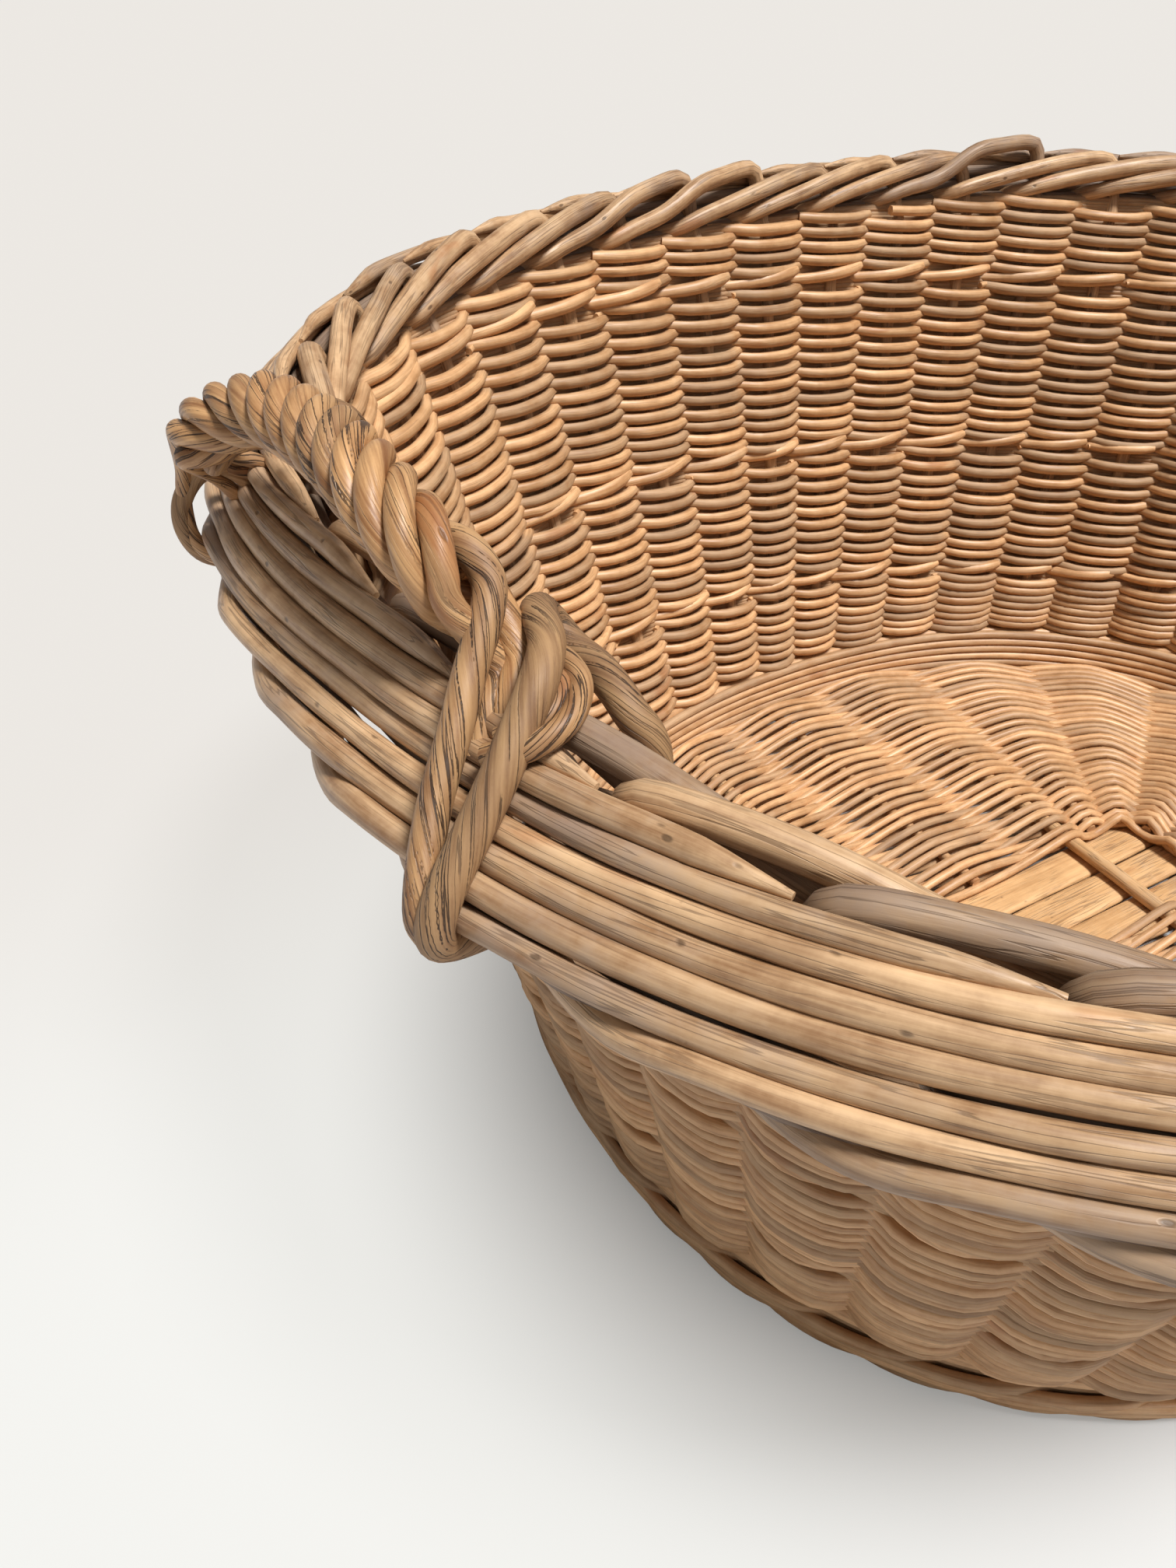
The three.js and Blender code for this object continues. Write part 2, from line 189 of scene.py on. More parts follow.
def feed(shader, **wires):
    """Links wires to the shader's sockets, with spaces in their names as underscores."""
    for name, wire in wires.items():
        wire.tree.links.new(wire.socket, shader.inputs[name.replace("_", " ")])


def new_object(name, mesh):
    made = bpy.data.objects.new(name, mesh)
    bpy.context.scene.collection.objects.link(made)
    return made


floor_mesh = bpy.data.meshes.new("floor")
corners = [(x * FLOOR_HALF, y * FLOOR_HALF, 0) for x, y in ((-1, -1), (1, -1), (1, 1), (-1, 1))]
floor_mesh.from_pydata(corners, [], [(0, 1, 2, 3)])
floor = new_object("floor", floor_mesh)
floor_material, start, shader = new_material("pale floor")
shader.inputs["Base Color"].default_value = (*FLOOR_COLOUR, 1)
shader.inputs["Roughness"].default_value = FLOOR_ROUGHNESS
shader.inputs["Specular IOR Level"].default_value = FLOOR_SPECULAR
seen = start.node("ShaderNodeLightPath")
place = start.node("ShaderNodeTexCoord", output=OBJECT_PLACE).scaled(*FLOOR_SHADE, 0)
away = start.node("ShaderNodeVectorMath", {"operation": "LENGTH"}, VECTOR_LENGTH, Vector=place)
behind = start.node("ShaderNodeSeparateXYZ", output=Y_PART, Vector=place)
# The camera sees the glow darker further back: painted shade, a fall-off of light over the floor
floor_seen = behind.ramp(*FLOOR_FAR_RAMP).mix((*FLOOR_SEEN, 1), (*FLOOR_FAR, 1))
glow = start.node("ShaderNodeEmission", Color=floor_seen, Strength=1.0)
surface = start.node(
    "ShaderNodeMixShader",
    Fac=seen * away.ramp(*FLOOR_GLOW_RAMP) * FLOOR_GLOW,
    Shader=Wire(start.tree, shader.outputs[0]),
    Shader_001=glow,
)
output = next(n for n in start.tree.nodes if n.type == "OUTPUT_MATERIAL")
start.tree.links.new(surface.socket, output.inputs["Surface"])
floor_mesh.materials.append(floor_material)
floor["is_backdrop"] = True

room = bpy.data.worlds.new("room")
bpy.context.scene.world = room
room.use_nodes = True
room_light = room.node_tree.nodes["Background"]
room_light.inputs["Color"].default_value = (*ROOM_COLOUR, 1)
room_light.inputs["Strength"].default_value = ROOM_STRENGTH
space = Wire(room.node_tree, None)
backdrop = space.node("ShaderNodeBackground", Color=(*FLOOR_FAR, 1), Strength=1.0)
walls = space.node(
    "ShaderNodeMixShader",
    Fac=space.node("ShaderNodeLightPath"),
    Shader=Wire(room.node_tree, room_light.outputs[0]),
    Shader_001=backdrop,
)
room.node_tree.links.new(walls.socket, room.node_tree.nodes["World Output"].inputs["Surface"])
lamp = bpy.data.objects.new("daylight", bpy.data.lights.new("daylight", "SUN"))
bpy.context.scene.collection.objects.link(lamp)
lamp.data.energy = DAYLIGHT
lamp.data.angle = DAYLIGHT_SPREAD
lamp.rotation_euler = DAYLIGHT_WAY.to_track_quat("-Z", "Y").to_euler()
bpy.context.scene.view_settings.view_transform = "Standard"

# Border rods
# Each is one willow rod: it stands in the side as a stake, comes up on the border as a rounded head, runs
# along the inner edge, drops down the inside, passes out under the border and climbs the outer face to
# a slanted tip. Nothing but the rods' own spring and weight of weaving holds them.
STAKES = 44
STAKE_PHASE = 0.08
RIM = (0.319, 0.275, 2.46)
BASE = (0.2646, 0.2302, 2.17)
RIM_HEIGHT = 0.304
RIM_DIP = 0.0075
FACE_TOP = 0.0207
BRIM_ENDS = 0.0457
BRIM_SIDES = 0.0335
FOOT_HEIGHT = 0.0095
STAKE_INSET = 0.008
WALL_TOP_DROP = 0.029
WALL_TOP_OUT = 0.003
MM = 0.001


def outline(shape, angle):
    """A point on one of the basket's ovals, a superellipse given by half length, half width and corner."""
    half_length, half_width, corner = shape
    c = np.cos(angle)
    s = np.sin(angle)
    x = half_length * np.sign(c) * np.abs(c) ** (2 / corner)
    y = half_width * np.sign(s) * np.abs(s) ** (2 / corner)
    return np.stack([x, y], -1)


def outward(shape, angle):
    """The direction square to an oval, away from the basket."""
    nudge = 0.002
    along = outline(shape, angle + nudge) - outline(shape, angle - nudge)
    along = along / np.linalg.norm(along, axis=-1, keepdims=True)
    return np.stack([along[..., 1], -along[..., 0]], -1)


def lengths_along(points):
    """How far a line has come at each of its points."""
    return np.concatenate([[0], np.cumsum(np.linalg.norm(np.diff(points, axis=0), axis=1))])


walk_angles = np.linspace(0, 2 * math.pi, 4001)
walked = lengths_along(outline(RIM, walk_angles))


def station_angle(station):
    """The oval's angle at a station, of which there is one for each stake at equal steps along the rim."""
    turns = (np.asarray(station, float) + STAKE_PHASE) / STAKES
    whole = np.floor(turns)
    return np.interp((turns - whole) * walked[-1], walked, walk_angles) + 2 * math.pi * whole


def rim_top(angle):
    return RIM_HEIGHT - RIM_DIP * np.cos(angle) ** 2


def border_point(station, out, up):
    """A place in the border: out from the rim's inner edge, most at the oval's ends, and up from its top."""
    angle = station_angle(station)
    out = np.asarray(out, float)
    brim = BRIM_SIDES + (BRIM_ENDS - BRIM_SIDES) * np.cos(angle) ** 2
    squeezed = FACE_TOP + (out - FACE_TOP) * (brim - FACE_TOP) / (BRIM_ENDS - FACE_TOP)
    out = np.where(out > FACE_TOP, squeezed, out)
    flat = outline(RIM, angle) + outward(RIM, angle) * out[..., None]
    return np.concatenate([flat, (rim_top(angle) + up)[..., None]], -1)


def base_point(station, out, height):
    angle = station_angle(station)
    flat = outline(BASE, angle) + outward(BASE, angle) * np.asarray(out, float)[..., None]
    return np.concatenate([flat, (np.zeros_like(angle) + height)[..., None]], -1)


def wall_point(station, share, out):
    """A place in the side: share runs from 0 at the foot to 1 at the wall's top, out is square to the rim."""
    foot = base_point(station, -STAKE_INSET + 0 * share, FOOT_HEIGHT)
    top = border_point(station, WALL_TOP_OUT + 0 * share, -WALL_TOP_DROP)
    point = foot + (top - foot) * np.asarray(share, float)[..., None]
    point[..., :2] += outward(RIM, station_angle(station)) * np.asarray(out, float)[..., None]
    return point


class Lines:
    """Centre lines for a sweep: points with radii and tones, and for each line its number and twist."""

    def __init__(self):
        self.points = []
        self.radii = []
        self.tones = []
        self.edges = []
        self.numbers = []
        self.twists = []
        self.count = 0

    def add(self, points, radii, tone, closed=False, twist=0.0):
        first = len(self.points)
        n = len(points)
        self.points.extend(points)
        self.radii.extend(np.zeros(n) + radii)
        self.tones.extend(np.zeros(n) + tone)
        self.numbers.extend([self.count] * n)
        self.twists.extend([twist] * n)
        self.edges.extend((first + i, first + i + 1) for i in range(n - 1))
        if closed:
            self.edges.append((first + n - 1, first))
        self.count += 1

    def mesh(self, name):
        mesh = bpy.data.meshes.new(name)
        mesh.from_pydata([tuple(p) for p in self.points], self.edges, [])
        layers = {"thick": self.radii, "tone": self.tones, "rod": self.numbers, "twist": self.twists}
        for key, values in layers.items():
            mesh.attributes.new(key, "FLOAT", "POINT").data.foreach_set("value", np.array(values, "f"))
        return mesh


ROD_APART = 3.7
LUMP_SCALE = 2.6
SWEEP_INPUTS = {
    "Sides": ("NodeSocketInt", 12),
    "Spacing": ("NodeSocketFloat", 0.004),
    "Wander": ("NodeSocketFloat", 0.0),
    "Wander Scale": ("NodeSocketFloat", 12.0),
    "Lumps": ("NodeSocketFloat", 0.12),
    "Seed": ("NodeSocketFloat", 0.0),
    "Material": ("NodeSocketMaterial", None),
}


def sweep_tree():
    """Turns lines into willow rods, a little crooked and uneven, with grain coordinates along each."""
    tree = bpy.data.node_groups.new("willow rods along lines", "GeometryNodeTree")
    tree.interface.new_socket("Lines", in_out="INPUT", socket_type="NodeSocketGeometry")
    for name, (kind, value) in SWEEP_INPUTS.items():
        socket = tree.interface.new_socket(name, in_out="INPUT", socket_type=kind)
        if value is not None:
            socket.default_value = value
    tree.interface.new_socket("Rods", in_out="OUTPUT", socket_type="NodeSocketGeometry")
    entry = tree.nodes.new("NodeGroupInput")
    leave = tree.nodes.new("NodeGroupOutput")

    def node(kind, settings=None, **values):
        return add_node(tree, kind, settings, values)

    def math_node(operation, first, second):
        return node("ShaderNodeMath", {"operation": operation}, Value=first, Value_001=second).outputs[0]

    def vector_node(operation, first, second):
        settings = {"operation": operation}
        return node("ShaderNodeVectorMath", settings, Vector=first, Vector_001=second).outputs[0]

    def read(name, kind="FLOAT"):
        return node("GeometryNodeInputNamedAttribute", {"data_type": kind}, Name=name).outputs["Attribute"]

    def store(geometry, name, value, kind="FLOAT"):
        settings = {"data_type": kind, "domain": "POINT"}
        stored = node("GeometryNodeStoreNamedAttribute", settings, Geometry=geometry, Name=name, Value=value)
        return stored.outputs[0]

    curve = node("GeometryNodeMeshToCurve", Mesh=entry.outputs["Lines"]).outputs[0]
    curve = node("GeometryNodeCurveSplineType", {"spline_type": "CATMULL_ROM"}, Curve=curve).outputs[0]
    step = entry.outputs["Spacing"]
    curve = node("GeometryNodeResampleCurve", {"mode": "LENGTH"}, Curve=curve, Length=step).outputs[0]

    place = node("GeometryNodeInputPosition").outputs[0]
    apart = math_node("MULTIPLY", read("rod"), ROD_APART)
    apart = math_node("ADD", apart, entry.outputs["Seed"])
    spread = node("ShaderNodeCombineXYZ", X=apart, Y=apart, Z=apart).outputs[0]
    size = entry.outputs["Wander Scale"]
    times = {"operation": "SCALE"}
    stretched = node("ShaderNodeVectorMath", times, Vector=place, Scale=size).outputs[0]
    seeded = vector_node("ADD", stretched, spread)
    cloud = node("ShaderNodeTexNoise", Vector=seeded, Scale=1.0, Detail=1.0).outputs["Color"]
    centred = vector_node("SUBTRACT", cloud, (0.5, 0.5, 0.5))
    wander = node("ShaderNodeVectorMath", times, Vector=centred, Scale=entry.outputs["Wander"])
    curve = node("GeometryNodeSetPosition", Geometry=curve, Offset=wander.outputs[0]).outputs[0]

    lump = node("ShaderNodeTexNoise", Vector=seeded, Scale=LUMP_SCALE, Detail=1.0).outputs[0]
    lump = math_node("MULTIPLY", math_node("SUBTRACT", lump, 0.5), entry.outputs["Lumps"])
    radius = math_node("MULTIPLY", read("thick"), math_node("ADD", lump, 1.0))
    curve = store(curve, "thick", radius)
    along = node("GeometryNodeSplineParameter").outputs["Length"]
    curve = store(curve, "along", along)
    curve = node("GeometryNodeSetCurveRadius", Curve=curve, Radius=read("thick")).outputs[0]

    ring = node("GeometryNodeCurvePrimitiveCircle", Resolution=entry.outputs["Sides"], Radius=1.0).outputs[0]
    ring = store(ring, "ring", place, "FLOAT_VECTOR")
    sweep = node("GeometryNodeCurveToMesh", Curve=curve, Profile__Curve=ring, Fill__Caps=True)
    scale = [s for s in sweep.inputs if s.name == "Scale"]
    if scale:
        tree.links.new(read("thick"), scale[0])
    rods = sweep.outputs[0]
    turned = node(
        "ShaderNodeVectorRotate",
        {"rotation_type": "Z_AXIS"},
        Vector=read("ring", "FLOAT_VECTOR"),
        Angle=math_node("MULTIPLY", read("twist"), read("along")),
    ).outputs[0]
    parts = node("ShaderNodeSeparateXYZ", Vector=turned).outputs
    across = math_node("MULTIPLY", parts[0], read("thick"))
    over = math_node("MULTIPLY", parts[1], read("thick"))
    grain = node("ShaderNodeCombineXYZ", X=across, Y=over, Z=read("along")).outputs[0]
    rods = store(rods, "grain", grain, "FLOAT_VECTOR")
    rods = node("GeometryNodeSetShadeSmooth", Geometry=rods).outputs[0]
    rods = node("GeometryNodeRealizeInstances", Geometry=rods).outputs[0]
    rods = node("GeometryNodeSetMaterial", Geometry=rods, Material=entry.outputs["Material"]).outputs[0]
    tree.links.new(rods, leave.inputs[0])
    return tree


willow_sweep = sweep_tree()


def sweep(name, lines, material, **inputs):
    """Runs the sweep over lines and keeps its result as a plain mesh."""
    holder = new_object(name + " lines", lines.mesh(name + " lines"))
    modifier = holder.modifiers.new("sweep", "NODES")
    modifier.node_group = willow_sweep
    inputs["Material"] = material
    for item in willow_sweep.interface.items_tree:
        key = item.name.replace(" ", "_")
        if item.in_out == "INPUT" and key in inputs:
            modifier[item.identifier] = inputs[key]
    graph = bpy.context.evaluated_depsgraph_get()
    mesh = bpy.data.meshes.new_from_object(holder.evaluated_get(graph))
    mesh.name = name
    bpy.data.objects.remove(holder)
    made = new_object(name, mesh)
    print("piece", name, len(mesh.polygons), "faces")
    return made


DARKER = (0.62, 0.52, 0.42)
STAIN_COLOUR = (0.36, 0.12, 0.03, 1)
KNOT_COLOUR = (0.07, 0.035, 0.015, 1)
WILLOW_ROUGHNESS = 0.42
WEATHERED_ROUGHNESS = 0.2
WILLOW_SPECULAR = 0.45
RELIEF_HEIGHT = 0.0006


def willow_material(name, pale, deep, grey, greying, grained, cracks, crack_colour, knotty, bump):
    """Peeled willow: fibres along the rod, weathered grey in patches, with stains, knots and dark cracks."""
    material, start, shader = new_material(name)
    grain = start.node("ShaderNodeAttribute", {"attribute_name": "grain"}, ATTRIBUTE_VECTOR)
    rod = start.node("ShaderNodeAttribute", {"attribute_name": "rod"}, ATTRIBUTE_NUMBER)
    tone = start.node("ShaderNodeAttribute", {"attribute_name": "tone"}, ATTRIBUTE_NUMBER)
    place = start.node("ShaderNodeTexCoord", output=OBJECT_PLACE)
    shift = start.node("ShaderNodeCombineXYZ", X=rod * 0.37, Y=rod * 0.71, Z=rod * 1.3)
    own = start.node("ShaderNodeVectorMath", {"operation": "ADD"}, Vector=grain, Vector_001=shift)
    fibres = own.scaled(1, 1, 0.045).noise(900.0, 4.0, 0.6)
    streaks = own.scaled(1, 1, 0.12).noise(210.0, 3.0, 0.55)
    patches = own.scaled(1, 1, 0.5).noise(34.0, 3.0, 0.6)
    blotches = own.noise(120.0, 4.0, 0.65)
    clouds = place.noise(14.0, 2.0, 0.5)
    texture = (streaks * 0.55 + fibres * 0.45) * grained + (blotches * 0.6 + patches * 0.4) * (1 - grained)
    colour = texture.ramp(0.32, 0.66).mix(deep, pale)
    dark = (*(part * share for part, share in zip(deep, DARKER)), 1)
    colour = (patches.ramp(0.55, 0.75) * 0.5).mix(colour, dark)
    weather = (blotches * 0.35 + patches * 0.3 + clouds * 0.35 + (1 - tone) * 0.32).ramp(0.58, 0.8)
    colour = (weather * greying).mix(colour, grey)
    stain = own.scaled(1, 1, 0.35).noise(60.0, 2.0, 0.5).ramp(0.66, 0.74)
    colour = (stain * 0.45).mix(colour, STAIN_COLOUR)
    specks = start.node("ShaderNodeTexVoronoi", {"feature": "F1"}, Vector=own.scaled(1, 1, 0.5), Scale=140.0)
    knots = (1 - specks.ramp(0.06, 0.13)) * own.noise(75.0, 1.0, 0.5).ramp(0.52, 0.56)
    colour = (knots * knotty).mix(colour, KNOT_COLOUR)
    lines = own.scaled(1, 1, 0.03).noise(620.0, 2.0, 0.4)
    crack = (1 - (lines - 0.5).math("ABSOLUTE").ramp(0.008, 0.035)) * patches.ramp(0.34, 0.54) * cracks
    colour = crack.mix(colour, crack_colour)
    shade = (tone - 0.5) * 0.6 + 1.0
    tint = start.node("ShaderNodeCombineColor", Red=shade, Green=shade, Blue=shade)
    multiply = {"data_type": "RGBA", "blend_type": "MULTIPLY"}
    mixed = {"Factor_Float": 1.0, "A_Color": colour, "B_Color": tint}
    colour = start.node("ShaderNodeMix", multiply, MIXED_COLOUR, **mixed)
    height = fibres * 0.35 + streaks * 0.5 + blotches * 0.25 - crack * 0.9 - knots * knotty
    relief = start.node("ShaderNodeBump", Strength=bump, Distance=RELIEF_HEIGHT, Height=height)
    roughness = weather * WEATHERED_ROUGHNESS + WILLOW_ROUGHNESS
    feed(shader, Base_Color=colour, Roughness=roughness, Normal=relief)
    shader.inputs["Specular IOR Level"].default_value = WILLOW_SPECULAR
    return material


border_willow = willow_material(
    "border willow",
    pale=(0.65, 0.43, 0.24, 1),
    deep=(0.23, 0.11, 0.045, 1),
    grey=(0.29, 0.21, 0.165, 1),
    greying=0.65,
    grained=0.62,
    cracks=0.5,
    crack_colour=(0.09, 0.05, 0.028, 1),
    knotty=0.7,
    bump=0.5,
)

# One rod's way through the border: stations from its stake, millimetres out and up, and its radius in
# millimetres
BORDER_WAY = [
    (0.0, 7.5, -20.5, 3.7),
    (0.0, 11.8, -11.5, 3.9),
    (0.05, 14.0, -4.2, 4.1),
    (0.2, 13.4, -0.4, 4.2),
    (0.6, 8.6, -0.9, 4.2),
    (1.0, 5.0, -3.2, 4.2),
    (1.5, 3.4, -7.6, 4.1),
    (2.0, 3.2, -12.4, 3.9),
    (2.25, 5.0, -16.0, 3.7),
    (2.45, 14.0, -20.5, 3.6),
    (2.75, 29.0, -27.5, 3.7),
    (3.1, 39.0, -31.5, 3.9),
    (3.5, 44.2, -31.5, 3.9),
]

# Rods that stand up over the others do so up to this station
RAISED_UNTIL = 1.2

# The rod's part in the side: its radius in millimetres and its number of points
STAKE_RADIUS = 3.7
STAKE_POINTS = 7

# The climb over the outer face, begun at the kink, and the tip it ends in. Lengths along the border are in
# stations; heights, distances out, waves and radii are in millimetres.
KINK_STATION = 3.9
FACE_REACH = 5.45
FACE_STEPS = 10
FACE_FOOT_UP = -26.5
FACE_RISE = 25.5
FACE_LIFT = 0.3
FACE_WAVE = 0.35
FACE_RADIUS = 3.18
TIP_LENGTH = 0.6
TIP_WAY = [(0.4, 20.0, 0.0), (1.0, 19.2, -0.4)]
TIP_RADII = (2.7, 0.9)

# Angles in degrees round which rods stand up over the others, by how many millimetres, and how far either way
BUMPS = {92.7: 5.0, 60.3: 7.0}
BUMP_HALF = 4
FIRST_FRONT = STAKES // 2 - 4
# Back rods get lighter, less grey tones than front ones: their own random tones plus painted light on them
FRONT_TONES = (0.25, 0.8)
BACK_LIT_TONES = (0.5, 0.85)
rng = np.random.default_rng(12)
sides_of_border = {"front": Lines(), "back": Lines()}

for i in range(STAKES):
    side = "front" if i >= FIRST_FRONT else "back"
    width = rng.uniform(0.93, 1.1)
    tone = rng.uniform(*(FRONT_TONES if side == "front" else BACK_LIT_TONES))
    lift = rng.normal(0, 0.5)
    push = rng.normal(0, 0.7)
    for angle, extra in BUMPS.items():
        if abs(math.degrees(station_angle(i)) % 360 - angle) < BUMP_HALF:
            lift += extra
    points = []
    radii = []
    for share in np.linspace(0, 1, STAKE_POINTS):
        points.append(wall_point(float(i), share, 0.0))
        radii.append(STAKE_RADIUS * width)
    for station, out, up, radius in BORDER_WAY:
        raised = lift if 0 < station < RAISED_UNTIL else 0
        points.append(border_point(i + station, out * MM, (up + raised) * MM))
        radii.append(radius * width)
    for step in range(FACE_STEPS + 1):
        share = step / FACE_STEPS
        out = BRIM_ENDS / MM + share * (FACE_TOP - BRIM_ENDS) / MM + push * math.sin(math.pi * share)
        up = FACE_FOOT_UP + share * FACE_RISE + lift * FACE_LIFT
        wave = rng.normal(0, FACE_WAVE)
        station = i + KINK_STATION + share * FACE_REACH
        points.append(border_point(station, (out + wave) * MM, (up + wave) * MM))
        radii.append(FACE_RADIUS * width)
    tip = i + KINK_STATION + FACE_REACH
    for share, out, up in TIP_WAY:
        points.append(border_point(tip + share * TIP_LENGTH, out * MM, up * MM))
    radii.extend([TIP_RADII[0] * width, TIP_RADII[1]])
    sides_of_border[side].add(points, np.array(radii) * MM, tone)

# Plain rounds behind the face of the border, in millimetres out and up, each laid in two halves. They fill
# the hollow there so that little of the floor shows through, and aren't read off the photograph. They take
# the darkest, greyest tone: painted shade where they show in the gaps between the face rods.
UNDER_FACE = [(42, -29.5), (36, -23.6), (29.7, -17.3), (24, -11), (18, -8.5), (13.5, -14.5), (10.5, -20.5)]
UNDER_FACE_RADIUS = 3.0 * MM
UNDER_FACE_SHADE_TONE = 0.0
for out, up in UNDER_FACE:
    for side, start in (("back", 0), ("front", STAKES // 2)):
        stations = np.linspace(start, start + STAKES // 2, 2 * STAKES)
        points = border_point(stations, np.full(len(stations), out * MM), up * MM)
        sides_of_border[side].add(points, UNDER_FACE_RADIUS, UNDER_FACE_SHADE_TONE)

for side, lines in sides_of_border.items():
    shaping = {"Sides": 14, "Spacing": 0.005, "Wander": 0.0013, "Seed": 3.0}
    piece = sweep(f"border_rods_{side}", lines, border_willow, **shaping)
    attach(piece, "root")
    first = FIRST_FRONT if side == "front" else 0
    last = STAKES if side == "front" else FIRST_FRONT
    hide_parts(*[f"stake_rod_{i + 1:02d}" for i in range(first, last)])

# Side weave
# Thin willow rods woven in and out of the stakes, row on row, in four blocks. The rows grow a little thicker
# up each block, and in all but the top one also wider apart, up to a thick butt inside every stake. Two
# rounds of waling, four rods each, stand below them on the foot.
WALL_HEIGHT = RIM_HEIGHT - WALL_TOP_DROP - FOOT_HEIGHT
ROW_OVERRUN = 9 * MM
WALL_REACH = WALL_HEIGHT + ROW_OVERRUN
WEAVE_DEPTH = 5.6 * MM
ROW_PITCH = (3.35 * MM, 4.4 * MM)
WEAVER_RADIUS = (2.85 * MM, 3.0 * MM)
ROW_START = 0.3
ROW_UNEVEN = 0.3 * MM
ROW_TONES = (0.15, 0.85)
BUTT_RADIUS = 3.3 * MM
BUTT_ROOM = 6.0 * MM
BUTT_DROP = 2.0 * MM
BUTT_MARGIN = 3.0 * MM
BLOCK_LINES = (28.5 * MM, 82.0 * MM, 160.0 * MM, 250.0 * MM)
CLIMB = (0.0, 16.0 * MM, 17.0 * MM, 16.0 * MM)
BLOCK_ROWS = (15, 20, 23, 12)
BANDS = ("lower", "middle", "upper", "upper")
CORE_PITCH = 3.9 * MM
CORE_RADIUS = 1.7 * MM
CORE_OUT = 1.0 * MM
CORE_TONE = 0.3
CORE_DROPS = (6.5 * MM, 3.2 * MM, -0.2 * MM)
UPSETT_ROUNDS = (3.5 * MM, 10.5 * MM)
UPSETT_RODS = 4
UPSETT_RADIUS = 2.7 * MM
UPSETT_TONES = (0.3, 0.8)
INNER_ROUNDS = (2 * MM, 6.5 * MM, 11 * MM, 15.5 * MM, 20 * MM, 24.5 * MM)
INNER_OUTS = (-7.0 * MM, -2.0 * MM, 1.5 * MM)

# A row lies full against each stake for this share of a station either way
ROW_HUG = 0.22

# Where a waling rod lies at one stake after another, out and up in millimetres
UPSETT_OUTS = (-5.6, 5.8, 7.4, 6.2)
UPSETT_RISES = (0.0, -2.6, 0.0, 2.6)

# A butt's way: stations from its stake, millimetres out and up, and its share of the butt's radius
BUTT_WAY = [
    (-0.36, -4.6, 2.4, 0.75),
    (-0.28, -6.0, 2.2, 1.0),
    (0.1, -6.9, 0.6, 1.0),
    (0.5, -1.0, -1.0, 0.92),
    (0.85, 5.2, -1.6, 0.85),
    (1.15, 5.2, -2.2, 0.7),
    (1.6, -2.0, -3.0, 0.5),
]


def block_line(block, station):
    """Height over the foot at which a block begins. All but the lowest rise and fall, most at the back."""
    angle = station_angle(station)
    return BLOCK_LINES[block] - CLIMB[block] * (0.65 + 0.35 * np.sin(angle)) * np.sin(2 * angle)


weave_willow = willow_material(
    "weave willow",
    pale=(0.70, 0.43, 0.22, 1),
    deep=(0.37, 0.18, 0.07, 1),
    grey=(0.38, 0.30, 0.22, 1),
    greying=0.22,
    grained=0.6,
    cracks=0.2,
    crack_colour=(0.08, 0.04, 0.02, 1),
    knotty=0.15,
    bump=0.4,
)
rng = np.random.default_rng(5)
bands = {band: Lines() for band in BANDS}
cores = {band: [] for band in BANDS}

for height in UPSETT_ROUNDS:
    for strand in range(UPSETT_RODS):
        stations = np.arange(STAKES) + 0.0
        turn = (np.arange(STAKES) - strand) % UPSETT_RODS
        out = np.choose(turn, UPSETT_OUTS) * MM
        rise = np.choose(turn, UPSETT_RISES) * MM
        points = wall_point(stations, (height + rise) / WALL_HEIGHT, out)
        bands["lower"].add(points, UPSETT_RADIUS, rng.uniform(*UPSETT_TONES), closed=True)

# Plain rounds behind the waling and above it, up to the first row. They close the corner between base and
# side, and aren't read off the photograph.
for height, out in itertools.product(INNER_ROUNDS, INNER_OUTS):
    points = wall_point(np.arange(STAKES) + 0.0, height / WALL_HEIGHT, out)
    bands["lower"].add(points, WEAVER_RADIUS[0], rng.uniform(*UPSETT_TONES), closed=True)

for block, band in enumerate(BANDS):
    rows = BLOCK_ROWS[block]
    last = block == len(BANDS) - 1
    for row in range(rows):
        stations = np.concatenate([[i - ROW_HUG, i + ROW_HUG, i + 0.5] for i in range(STAKES)])
        part = (row + ROW_START) / rows
        grown = (ROW_PITCH[0] * part + (ROW_PITCH[1] - ROW_PITCH[0]) * part**2 / 2) * 2 / sum(ROW_PITCH)
        low = block_line(block, stations)
        if last:
            height = low + (row + 0.5) * ROW_PITCH[0]
        else:
            height = low + (block_line(block + 1, stations) - BUTT_ROOM - low) * grown
        cores[band].append(height[::3])
        if row == rows - 1 and not last:
            cores[band].extend(block_line(block + 1, stations[::3]) - drop for drop in CORE_DROPS)
        height = height + np.repeat(rng.normal(0, ROW_UNEVEN, STAKES), 3)
        side = np.array([(-1) ** (i + row) for i in range(STAKES)])
        out = WEAVE_DEPTH * np.stack([side, side, 0 * side], 1).ravel() * rng.uniform(0.92, 1.06, 3 * STAKES)
        size = WEAVER_RADIUS[0] + (WEAVER_RADIUS[1] - WEAVER_RADIUS[0]) * part
        size = size * np.repeat(rng.uniform(0.9, 1.08, STAKES), 3)
        tones = np.repeat(rng.uniform(*ROW_TONES, STAKES // 4), 12)
        points = wall_point(stations, height / WALL_HEIGHT, out)
        inside = height < WALL_REACH
        if inside.all():
            bands[band].add(points, size, tones, closed=True)
            continue
        begin = int(np.argmin(inside))
        order = np.roll(np.arange(3 * STAKES), -begin)
        runs = np.split(order, np.flatnonzero(np.diff(inside[order].astype(int))) + 1)
        for run in runs:
            if inside[run[0]] and len(run) > 3:
                bands[band].add(points[run], size[run], tones[run])
    if last:
        continue
    for i in range(STAKES):
        line = block_line(block + 1, float(i)) - BUTT_DROP
        if line > WALL_REACH - BUTT_MARGIN:
            continue
        shift = rng.uniform(-0.08, 0.08)
        size = BUTT_RADIUS * rng.uniform(0.85, 1.1)
        at, out, rise, share = np.array(BUTT_WAY).T
        points = wall_point(i + at + shift, (line + rise * MM) / WALL_HEIGHT, out * MM)
        bands[band].add(points, size * share, rng.uniform(0.6, 1.0))

